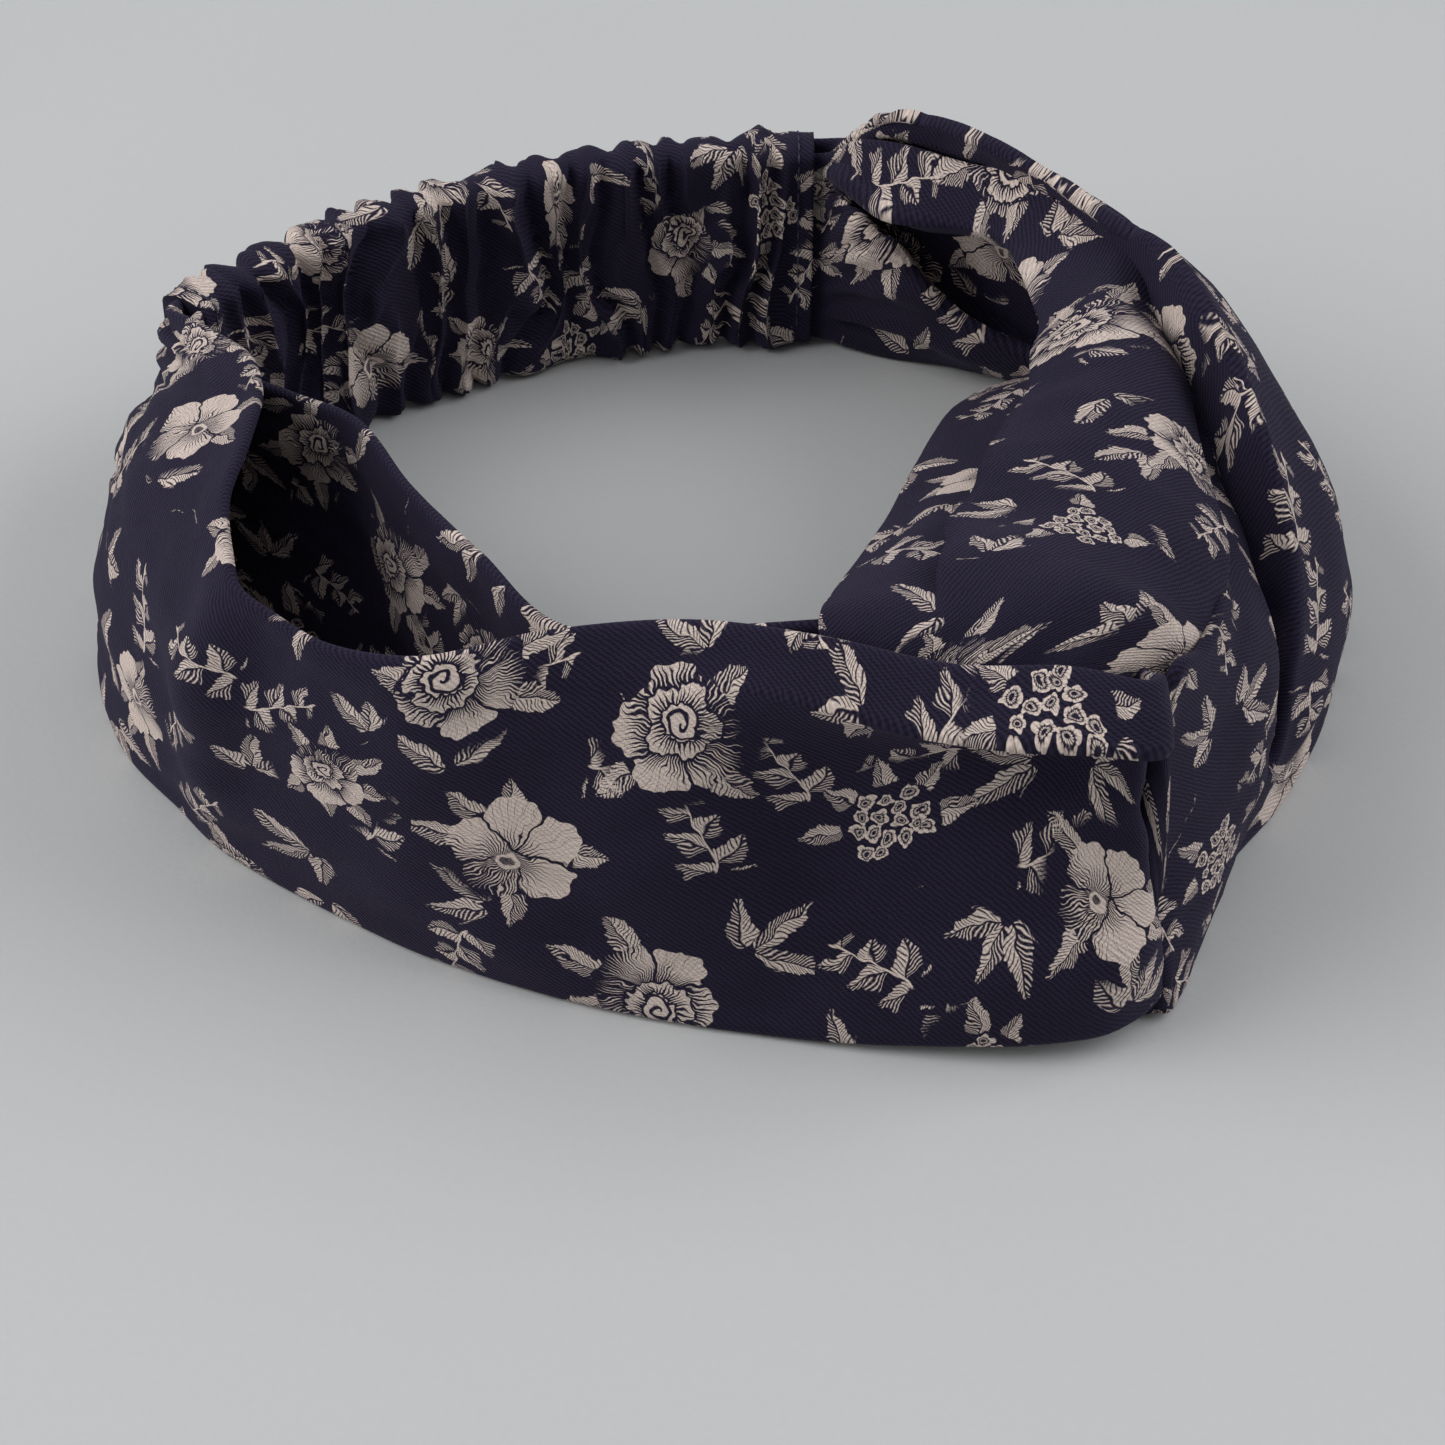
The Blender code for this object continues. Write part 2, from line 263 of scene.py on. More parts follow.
def cloth_tube(name, rings, along, about, around, flowers, sprigs, material):
    """A tube of cloth from rings of points, in drawing mm. along and about are the cloth's own mm at each
    point, with one more column than the rings, so that the print is unbroken where the tube closes."""
    stations, count = rings.shape[:2]
    index = np.arange(stations * count).reshape(stations, count)
    index = np.concatenate([index, index[:, :1]], axis=1)

    def corners(grid):
        return np.stack([grid[:-1, :-1], grid[1:, :-1], grid[1:, 1:], grid[:-1, 1:]], axis=-1).reshape(-1, 4)

    faces = corners(index).tolist()
    a = corners(along)
    b = corners(about)
    caps = []
    for row, flip in ((0, False), (stations - 1, True)):
        for j in range(count // 2):
            columns = (j, j + 1, count - j - 1, (count - j) % count)
            quad = list(dict.fromkeys(int(index[row, column]) for column in columns))
            if len(quad) > 2:
                caps.append(quad[::-1] if flip else quad)
    obj = new_object(name, to_world(rings.reshape(-1, 3)), faces + caps, material)
    loops = len(obj.data.loops)
    for attribute, values in (
        ("cloth", np.stack([a, b, np.zeros_like(a)], axis=-1)),
        ("flower", nearest_motif(a, b, around, flowers)),
        ("sprig", nearest_motif(a, b, around, sprigs)),
    ):
        filled = np.full((loops, 3), NO_MOTIF)
        filled[: values.shape[0] * 4] = values.reshape(-1, 3)
        corner_attribute(obj, attribute, filled)
    return obj


def tube_faces(stations, sides, start=0):
    """Faces of a tube made of rings of points, with a flat cap at each end. start is its first point."""
    faces = [tuple(start + q for q in reversed(range(sides)))]
    for k in range(stations - 1):
        for q in range(sides):
            a = start + k * sides + q
            b = start + k * sides + (q + 1) % sides
            faces.append((a, b, b + sides, a + sides))
    faces.append(tuple(start + (stations - 1) * sides + q for q in range(sides)))
    return faces


def thread_mesh(name, stitches):
    """Stitches are short polylines in drawing mm; each becomes a thin rounded tube."""
    verts = []
    faces = []
    for points in stitches:
        count = len(points)
        tangents = unit(np.gradient(points, axis=0))
        side = unit(np.cross(tangents, (0.31, 0.17, 0.94)))
        up = np.cross(tangents, side)
        shares = np.linspace(-1, 1, count)
        faces += tube_faces(count, THREAD_SIDES, len(verts))
        for k in range(count):
            swell = THREAD_RADIUS * (0.35 + 0.65 * math.sqrt(max(0.0, 1 - shares[k] ** 4)))
            for q in range(THREAD_SIDES):
                turn = TAU * q / THREAD_SIDES
                verts.append(points[k] + swell * (math.cos(turn) * side[k] + math.sin(turn) * up[k]))
    return new_object(name, to_world(verts), faces, thread_look)


# ------------ materials


class Number:
    """A number that a material works out at each point. Arithmetic on it adds Math nodes."""

    def __init__(self, tree, socket):
        self.tree = tree
        self.socket = socket

    def _do(self, operation, *others, clamp=False):
        node = self.tree.nodes.new("ShaderNodeMath")
        node.operation = operation
        node.use_clamp = clamp
        for socket, value in zip(node.inputs, (self,) + others):
            if isinstance(value, Number):
                self.tree.links.new(value.socket, socket)
            else:
                socket.default_value = float(value)
        return Number(self.tree, node.outputs[0])

    def __rsub__(self, value):
        node = self.tree.nodes.new("ShaderNodeMath")
        node.operation = "SUBTRACT"
        node.inputs[0].default_value = float(value)
        self.tree.links.new(self.socket, node.inputs[1])
        return Number(self.tree, node.outputs[0])

    __add__ = partialmethod(_do, "ADD")
    __radd__ = __add__
    __sub__ = partialmethod(_do, "SUBTRACT")
    __mul__ = partialmethod(_do, "MULTIPLY")
    __rmul__ = __mul__
    __truediv__ = partialmethod(_do, "DIVIDE")
    sin = partialmethod(_do, "SINE")
    cos = partialmethod(_do, "COSINE")
    size = partialmethod(_do, "ABSOLUTE")
    power = partialmethod(_do, "POWER")
    root = partialmethod(_do, "SQRT")
    part = partialmethod(_do, "FRACT")
    whole = partialmethod(_do, "FLOOR")
    most = partialmethod(_do, "MAXIMUM")
    angle = partialmethod(_do, "ARCTAN2")
    above = partialmethod(_do, "GREATER_THAN")

    def clear(self):
        """Kept between 0 and 1."""
        return self._do("ADD", 0.0, clamp=True)

    def inside(self, soft=0.14):
        """1 where the distance in mm is positive, 0 where negative, with a soft edge."""
        return self._do("MULTIPLY_ADD", 1 / soft, 0.5, clamp=True)


def new_material(name):
    material = bpy.data.materials.new(name)
    material.use_nodes = True
    tree = material.node_tree
    shader = tree.nodes["Principled BSDF"]
    return material, tree, shader


def mix_colour(tree, share, low, high):
    node = tree.nodes.new("ShaderNodeMix")
    node.data_type = "RGBA"
    tree.links.new(share.socket, node.inputs["Factor"])
    for socket, colour in ((node.inputs[6], low), (node.inputs[7], high)):
        if isinstance(colour, tuple):
            socket.default_value = (*colour, 1.0)
        else:
            tree.links.new(colour, socket)
    return node.outputs[2]


def split_numbers(tree, vector):
    """The three parts of a vector as numbers."""
    split = tree.nodes.new("ShaderNodeSeparateXYZ")
    tree.links.new(vector, split.inputs[0])
    return [Number(tree, socket) for socket in split.outputs]


def attribute_numbers(tree, name):
    """The parts of a mesh attribute as three numbers."""
    source = tree.nodes.new("ShaderNodeAttribute")
    source.attribute_name = name
    return split_numbers(tree, source.outputs["Vector"])


def object_place(tree):
    """The place on the object, in metres."""
    return tree.nodes.new("ShaderNodeTexCoord").outputs["Object"]


def set_surface(tree, shader, colour, roughness, height, distance, strength=1.0):
    """A material's colour and roughness, and a relief that rises by `distance` mm where height is 1."""
    tree.links.new(colour, shader.inputs["Base Color"])
    tree.links.new(roughness.socket, shader.inputs["Roughness"])
    bump = tree.nodes.new("ShaderNodeBump")
    bump.inputs["Distance"].default_value = distance * MM
    bump.inputs["Strength"].default_value = strength
    tree.links.new(height.socket, bump.inputs["Height"])
    tree.links.new(bump.outputs["Normal"], shader.inputs["Normal"])


def point_at(tree, x, y, z=0.0):
    node = tree.nodes.new("ShaderNodeCombineXYZ")
    for socket, value in zip(node.inputs, (x, y, z)):
        if isinstance(value, Number):
            tree.links.new(value.socket, socket)
        else:
            socket.default_value = value
    return node.outputs[0]


def noise_at(tree, place, scale, detail=1.0, colour=False):
    node = tree.nodes.new("ShaderNodeTexNoise")
    node.inputs["Scale"].default_value = scale
    node.inputs["Detail"].default_value = detail
    tree.links.new(place, node.inputs["Vector"])
    if not colour:
        return Number(tree, node.outputs[0])
    return split_numbers(tree, node.outputs["Color"])


def dice(value, seed):
    """A random number from 0 to 1 that belongs to a whole number."""
    tree = value.tree
    node = tree.nodes.new("ShaderNodeTexWhiteNoise")
    node.noise_dimensions = "2D"
    tree.links.new(point_at(tree, value, seed), node.inputs["Vector"])
    return Number(tree, node.outputs["Value"])


def petal_ring(radius, angle, petals, turn, size, lobe):
    """How far inside a ring of rounded petals a point is, in mm."""
    lobes = (angle * (petals / 2) + turn).cos().size().power(0.55)
    frill = (angle * (petals * 4.0) + turn).sin() * 0.18
    return lobes * (size * lobe) + frill + size * (1 - lobe) - radius


def engraved(angle, lines, reach, depth):
    """Fine radial lines that taper out over `depth` mm outside an inner petal ring."""
    line = (angle * (lines / TAU)).part() - 0.5
    share = (1.0 - (reach * -1.0) / depth).clear() * 0.42
    return (share - line.size()).inside(0.12) * (reach * -1.0).inside(0.2)


def petal_gaps(radius, angle, turn, gap, soft):
    """0 along the lines between five petals, 1 elsewhere."""
    return ((angle * 2.5 + turn).cos().size() * radius - gap).inside(soft)


def hatching(radius, angle, lines, slope, start, widest):
    """Fine radial lines over the side of a flower that is drawn in shade, broader towards its rim."""
    shade = ((angle - 0.6).cos() * radius * slope - start).clear() * widest
    return (shade - ((angle * (lines / TAU)).part() - 0.5).size()).inside(0.16)


PETAL_TURN = 0.4


def rose(radius, angle, inner_radius, inner_angle):
    """An open rose: a ring of broad petals, and inside it two rings and a coiled heart, a little off its
    middle."""
    outer = petal_ring(radius, angle, petals=5, turn=PETAL_TURN, size=9.6, lobe=0.24)
    middle = petal_ring(inner_radius, inner_angle, petals=5, turn=PETAL_TURN + 1.3, size=5.6, lobe=0.26)
    heart = petal_ring(inner_radius, inner_angle, petals=3, turn=PETAL_TURN + 0.6, size=2.9, lobe=0.2)
    split = petal_gaps(radius, angle, PETAL_TURN, gap=0.6, soft=0.3).most(middle.inside())
    ink = outer.inside() * split
    ink = ink * (1.0 - engraved(angle, 66.0, middle, 3.6) * 0.95)
    ink = ink * (1.0 - (0.24 - middle.size()).inside())
    ink = ink * (1.0 - engraved(inner_angle, 40.0, heart, 2.2) * 0.95)
    ink = ink * (1.0 - (0.22 - heart.size()).inside())
    coil = (inner_radius * 0.62 - inner_angle / TAU).part() - 0.5
    ink = ink * (1.0 - (0.17 - coil.size()).inside(0.1) * heart.inside())
    return ink * (1.0 - hatching(radius, angle, lines=88, slope=0.16, start=0.35, widest=0.5))


def blossom(radius, angle, inner_radius, inner_angle):
    """A single flower with broad frilled petals and a dark brush of stamens."""
    turn = PETAL_TURN + 0.8
    outer = petal_ring(radius, angle, petals=5, turn=turn, size=10.4, lobe=0.30)
    split = petal_gaps(radius, angle, turn, gap=0.5, soft=0.25)
    line = (inner_angle * (46.0 / TAU)).part() - 0.5
    brush = (1.0 - inner_radius / 6.6).clear() * 0.46
    ink = outer.inside() * split.most((2.0 - inner_radius).inside())
    ink = ink * (1.0 - (brush - line.size()).inside(0.14))
    ink = ink * (1.0 - hatching(radius, angle, lines=80, slope=0.15, start=0.45, widest=0.45))
    eye = (1.7 - inner_radius).inside(0.2) * (inner_radius - 0.9).inside(0.2)
    return ink.most(eye)


def florets(tree, x, y):
    """A posy of small round flowers with dark eyes."""
    cell = tree.nodes.new("ShaderNodeTexVoronoi")
    cell.voronoi_dimensions = "2D"
    cell.inputs["Scale"].default_value = 0.30
    cell.inputs["Randomness"].default_value = 0.45
    tree.links.new(point_at(tree, x, y), cell.inputs["Vector"])
    cx, cy, _ = split_numbers(tree, cell.outputs["Position"])
    dx = x - cx
    dy = y - cy
    radius = (dx * dx + dy * dy).root()
    angle = dy.angle(dx)
    lobes = (angle * 2.5).cos().size()
    shape = lobes * 0.42 + 1.28 - radius
    centre = (cx * cx + cy * cy).root()
    kept = (7.4 - centre).inside(0.1)
    ink = shape.inside() * kept
    ink = ink * (radius - 0.42).inside()
    ring = (0.13 - (radius - 0.86).size()).inside(0.12)
    ray = ((angle * (15 / TAU)).part() - 0.5).size()
    ink = ink * (1.0 - ring * 0.8)
    return ink * (1.0 - (0.2 - ray).inside(0.2) * (1.15 - radius).inside(0.3) * 0.75)


def leaf(along, across, length, width):
    """A pointed leaf, its stalk at the origin: a midrib, slanting veins, and one half more in shade."""
    share = (along / length).clear()
    body = (share.power(0.75) * math.pi).sin() * width
    teeth = ((along * 0.9).part() - 0.5) * 0.32
    shape = body + teeth * body.inside(0.6) - across.size()
    rib = (across.size() - 0.13).inside()
    slant = (along - across.size() * 1.2) * 1.5
    shaded = across.above(0.0)
    veins = ((slant.part() - 0.5).size() - shaded * 0.16 - 0.15).inside(0.2)
    middle = (across.size() - body * 0.16 + shaded * 0.3).inside(0.4)
    live = share.above(0.001) * (1.0 - share.above(0.999))
    return shape.inside() * rib * (1.0 - (1.0 - veins) * middle * 0.9) * live


def leaves(radius, angle, own, count, start, length, width, seed, keep):
    """Leaves fanned round the origin, one to a sector, with some sectors bare. own makes each fan differ."""
    turns = angle * (count / TAU) + 0.5
    sector = turns.whole() + (own * 97.0).whole() * 13.0
    chance = dice(sector, seed)
    other = dice(sector, seed + 3.7)
    across = (turns.part() - 0.5 + (other - 0.5) * 0.3) * (TAU / count) * radius
    drawn = leaf(radius - start, across, length * (0.65 + other * 0.5), width)
    return drawn * (1.0 - chance.above(keep))


def polar(x, y):
    return (x * x + y * y).root(), y.angle(x)


# A motif's kind is a random number from 0 to 1, and these limits say what it becomes.
POSY_BELOW = 0.36
BLOSSOM_ABOVE = 0.84
SPRAY_ABOVE = 0.45


def flower_layer(tree):
    """Roses, blossoms and posies, each with a few leaves behind it, and the distance from its middle."""
    x, y, kind = attribute_numbers(tree, "flower")
    waver = noise_at(tree, point_at(tree, x, y, kind), 0.36, 1.5, colour=True)
    scale = (kind * 7.3).part() * 0.30 + 0.64
    tilt = (kind * 13.7).part() - 0.5
    px = (x + (waver[0] - 0.5) * 2.6) / scale
    py = (y + (waver[1] - 0.5) * 2.6) / scale
    radius, angle = polar(px, py)
    inner_radius, inner_angle = polar(px - tilt * 5.0, py - 1.4)
    is_posy = 1.0 - kind.above(POSY_BELOW)
    is_blossom = kind.above(BLOSSOM_ABOVE)
    is_rose = 1.0 - is_posy - is_blossom
    head = is_rose * rose(radius, angle, inner_radius, inner_angle)
    head = head + is_blossom * blossom(radius, angle, inner_radius, inner_angle)
    head = head + is_posy * florets(tree, px, py)
    fronds = leaves(radius, angle + 0.3, kind, count=8, start=7.0, length=9.6, width=2.2, seed=2.0, keep=0.55)
    return head.most(fronds * (radius - 9.2).inside(0.3)), radius * scale


def twig(px, py):
    """A bending stem with leaves that take turns to left and right and shrink towards its tip."""
    off = py - (px * 0.24).sin() * 1.8
    upper = off.above(0.0)
    pitch = 4.9
    beat = ((px + upper * (pitch / 2)) / pitch).part() * pitch
    reach = beat * 0.64 + off.size() * 0.77
    cross = off.size() * 0.64 - beat * 0.77
    drawn = leaf(reach, cross, 5.4 - px * 0.22, 1.5 - px * 0.05) * (6.2 - px.size()).inside(0.3)
    stem = (0.16 - off.size()).inside(0.12) * (6.4 - px.size()).inside(0.3)
    return stem.most(drawn)


def sprig_layer(tree):
    """Twigs, and sprays of two or three larger leaves, that fill the ground between the flowers."""
    x, y, sort = attribute_numbers(tree, "sprig")
    waver = noise_at(tree, point_at(tree, x, y, sort), 0.26, 1.0, colour=True)
    px = x + (waver[0] - 0.5) * 3.2
    py = y + (waver[1] - 0.5) * 3.2
    radius, angle = polar(px + 3.4, py)
    spray = leaves(radius, angle, sort, count=7, start=0.8, length=9.4, width=1.9, seed=11.0, keep=0.85)
    spray = spray * (1.4 - angle.size()).inside(0.1)
    is_spray = sort.above(SPRAY_ABOVE)
    return is_spray * spray + (1.0 - is_spray) * twig(px, py)


FLOWER_CLEARANCE = 10.5


def floral_print(tree):
    """How much cream ink covers each point. Sprigs end at the clearance round a flower's middle."""
    flower, middle_distance = flower_layer(tree)
    free = (middle_distance - FLOWER_CLEARANCE).inside(1.5)
    return flower.most(sprig_layer(tree) * free)


# Shades of the dyed ground and of the ink, from the weave's hollows (painted shade) to its ribs, and its two
# pitches in mm.
NAVY = ((0.004, 0.0032, 0.007), (0.035, 0.028, 0.064))
CREAM = ((0.72, 0.59, 0.52), (0.97, 0.84, 0.75))
RIB_PITCH = 0.62
YARN_PITCH = 0.4


def wave_at(phase):
    """A wave from 0 to 1 and back for each TAU of phase."""
    return phase.sin() * 0.5 + 0.5


def twill(tree, along, about):
    """Height of the diagonal ribs, and of them together with the yarns in them, from 0 to 1."""
    place = point_at(tree, along, about)
    drift = noise_at(tree, place, 0.9, 2.0)
    diagonal = (along * 0.62 + about * 0.78) * (1 / RIB_PITCH) + drift * 0.9
    rib = wave_at(diagonal * TAU)
    yarn = wave_at((about * 0.95 - along * 0.3) * (TAU / YARN_PITCH) + drift * 5.0)
    return rib, rib * 0.7 + yarn * 0.3


def printed_twill(name):
    """Navy cotton twill with a cream print that is worn off the ribs here and there, and painted shade in the
    weave's hollows.
    """
    material, tree, shader = new_material(name)
    along, about, _ = attribute_numbers(tree, "cloth")
    place = point_at(tree, along, about)
    rib, weave = twill(tree, along, about)
    fuzz = noise_at(tree, place, 5.5, 2.0)
    wear = noise_at(tree, place, 0.05, 3.0)
    cover = floral_print(tree)
    broken = (cover - (fuzz - 0.42).most(0.0) * 1.1 - (1.0 - rib) * 0.10).clear()
    # Ground and ink are darker where the weave is low: painted shade in its hollows, mixed with random tone
    # from the fuzz and wear noise.
    dark = mix_colour(tree, (weave * 0.55 + fuzz * 0.35 + wear * 0.3 - 0.15).clear(), *NAVY)
    pale = mix_colour(tree, (weave * 0.5 + wear * 0.6 - 0.2).clear(), *CREAM)
    colour = mix_colour(tree, broken, dark, pale)
    roughness = weave * -0.10 + fuzz * 0.12 + 0.80
    set_surface(tree, shader, colour, roughness, weave + fuzz * 0.5, 0.16, 0.7)
    shader.inputs["Specular IOR Level"].default_value = 0.10
    shader.inputs["Sheen Weight"].default_value = 0.07
    shader.inputs["Sheen Roughness"].default_value = 0.45
    shader.inputs["Sheen Tint"].default_value = (0.66, 0.58, 0.86, 1.0)
    return material


def thread_material():
    """Navy sewing thread: two plies twisted round each other."""
    material, tree, shader = new_material("navy_thread")
    place = object_place(tree)
    x, y, z = split_numbers(tree, place)
    ply = wave_at((x + y * 0.8 + z * 1.2) * (TAU / (0.5 * MM)))
    lint = noise_at(tree, place, 2500.0, 2.0)
    # Darker in the grooves between the plies: painted shade, with random tone from the lint noise.
    colour = mix_colour(tree, (ply * 0.6 + lint * 0.3).clear(), (0.012, 0.011, 0.028), (0.06, 0.056, 0.12))
    set_surface(tree, shader, colour, lint * 0.2 + 0.5, ply, 0.05)
    return material


def elastic_material():
    """Woven elastic webbing: lengthwise rubber cords under crosswise yarn."""
    material, tree, shader = new_material("elastic_webbing_weave")
    place = object_place(tree)
    x, y, z = split_numbers(tree, place)
    cord = wave_at(z * (TAU / (1.6 * MM)))
    yarn = wave_at((x - y * 0.4) * (TAU / (0.7 * MM)))
    lint = noise_at(tree, place, 900.0, 2.0)
    height = cord * 0.7 + yarn * 0.3
    # Darker between the cords and yarns: painted shade, with random tone from the lint noise.
    shade = (height * 0.6 + lint * 0.4).clear()
    colour = mix_colour(tree, shade, (0.55, 0.53, 0.49), (0.84, 0.82, 0.78))
    set_surface(tree, shader, colour, lint * 0.2 + 0.7, height, 0.2)
    return material


def table_material():
    """A pale matt surface with a fine grain and slow changes of shade."""
    material, tree, shader = new_material("pale_table")
    place = object_place(tree)
    grain = noise_at(tree, place, 900.0, 3.0)
    cloud = noise_at(tree, place, 6.0, 2.0)
    colour = mix_colour(tree, (grain * 0.3 + cloud * 0.5).clear(), (0.53, 0.54, 0.545), (0.62, 0.63, 0.635))
    set_surface(tree, shader, colour, grain * 0.15 + 0.75, grain, 0.12, 0.35)
    return material


band_cloth = printed_twill("printed_cotton_twill")
casing_cloth = printed_twill("casing_cotton_twill")
thread_look = thread_material()
elastic_look = elastic_material()


# ------------ the two bands

# Names of the creases that run along a band.
FIRST = 1
SECOND = 2

# Left band: lower edge, upper edge, and how far the cloth bellies out at the five inner shares of its width.
# It is creased along the lip that its upper edge makes over the front, where the last belly is above LIP.
BELLY_SHARES = (0, 0.2, 0.4, 0.6, 0.78, 0.88, 1)
LIP = 4.0
FLAT = (0, 0, 0, 0, 0)
LEFT_RAILS = (
    ((-75.5, 46.0, 1.6), (-74.5, 45.5, 36.6), FLAT),
    ((-83.0, 38.0, 1.4), (-81.0, 38.0, 37.5), (0.5, 1, 1, 0.5, 0)),
    ((-86.5, 26, 0), (-74.5, 25, 41.5), (4, 6.5, 6.5, 4, 2)),
    ((-88.5, 13, 0), (-66, 12, 44.5), (5.5, 9.5, 10.5, 8.5, 4)),
    ((-89.0, -1, 0), (-63, -1, 47), (5.5, 9.5, 10.5, 8.5, 3.8)),
    ((-87.5, -14, 0), (-63, -15, 49.5), (5, 8.5, 9.5, 7.5, 3.5)),
    ((-82.0, -27, 0), (-64, -31, 50.5), (3, 4.8, 5.5, 4.5, 2)),
    ((-73.5, -38, 0), (-62.5, -43.5, 50.4), (1.8, 3.4, 4.6, 4, 2.2)),
    ((-68.5, -44, 0), (-60.7, -50.5, 50), (2.4, 4.6, 6.4, 6.2, 3.8)),
    ((-62, -50, 0), (-55.5, -56.5, 49.7), (1, 1.8, 2.4, 2, 1)),
    ((-51, -58, 0), (-48.5, -63, 50), (1, 1.5, 1.5, 1, 0.5)),
    ((-38, -66.5, 0), (-37, -68, 51.7), (1.5, 2, 2, 1.5, 1)),
    ((-20, -75, 0), (-20, -65.5, 54), (2, 3.2, 3.4, 2.8, 1.6)),
    ((-2, -80.5, 0), (-1, -66, 56), (1.4, 3.6, 4.6, 4.6, 3.6)),
    ((14, -84, 0.5), (14, -70.5, 57), (-1, -2.8, -2.6, 1.2, 4.8)),
    ((31, -86.5, 2), (31, -77, 57.5), (-0.5, -3.8, -6, -4, 6.8)),
    ((44, -87, 3), (45, -78, 58), (0.5, -3.5, -6, -4.2, 8.2)),
    ((53, -85, 3.5), (53.5, -79.5, 57), (1, -3.5, -5, -3, 6)),
    ((58.8, -80, 4), (55.5, -75.5, 55), (-0.5, -2, -2.5, -1.5, 0)),
    ((58.8, -72.5, 4), (54.5, -69.5, 50.5), (-0.5, -3.2, -3.2, -1.5, 0)),
    ((55.8, -64.5, 4), (52, -62.5, 49), FLAT),
    ((49, -60, 4.4), (46.5, -57.5, 49.5), FLAT),
    ((36, -59, 4.2), (34, -56.5, 49), FLAT),
    ((18, -58.5, 2), (16, -56.5, 48.5), FLAT),
    ((0, -57, 0.6), (-3, -56, 47), FLAT),
    ((-15, -50, 0), (-18, -54, 45.5), FLAT),
    ((-34, -40, 0), (-31, -35, 44), (0, 1, 1, 1, 0)),
    ((-47, -22, 0), (-41, -18, 42), (0, 1, 1, 1, 0)),
    ((-60, -5, 0), (-51, 2, 40.5), (0, 1, 1, 1, 0)),
    ((-71, 8, 0), (-61, 12, 38.5), (0, 1, 1, 0, 0)),
    ((-79, 21, 0.8), (-73, 22, 37.5), (0, 0.5, 0.5, 0, 0)),
    ((-79, 35, 1.4), (-77.5, 35, 37), FLAT),
    ((-73, 43, 1.6), (-72.5, 43, 36.6), FLAT),
)


TUCKED_LOW = 1.5
TUCKED_HIGH = 36.6


def upright(x, y):
    """A section that stands straight up inside the casing."""
    return ((x, y, TUCKED_LOW), (x, y, TUCKED_HIGH))


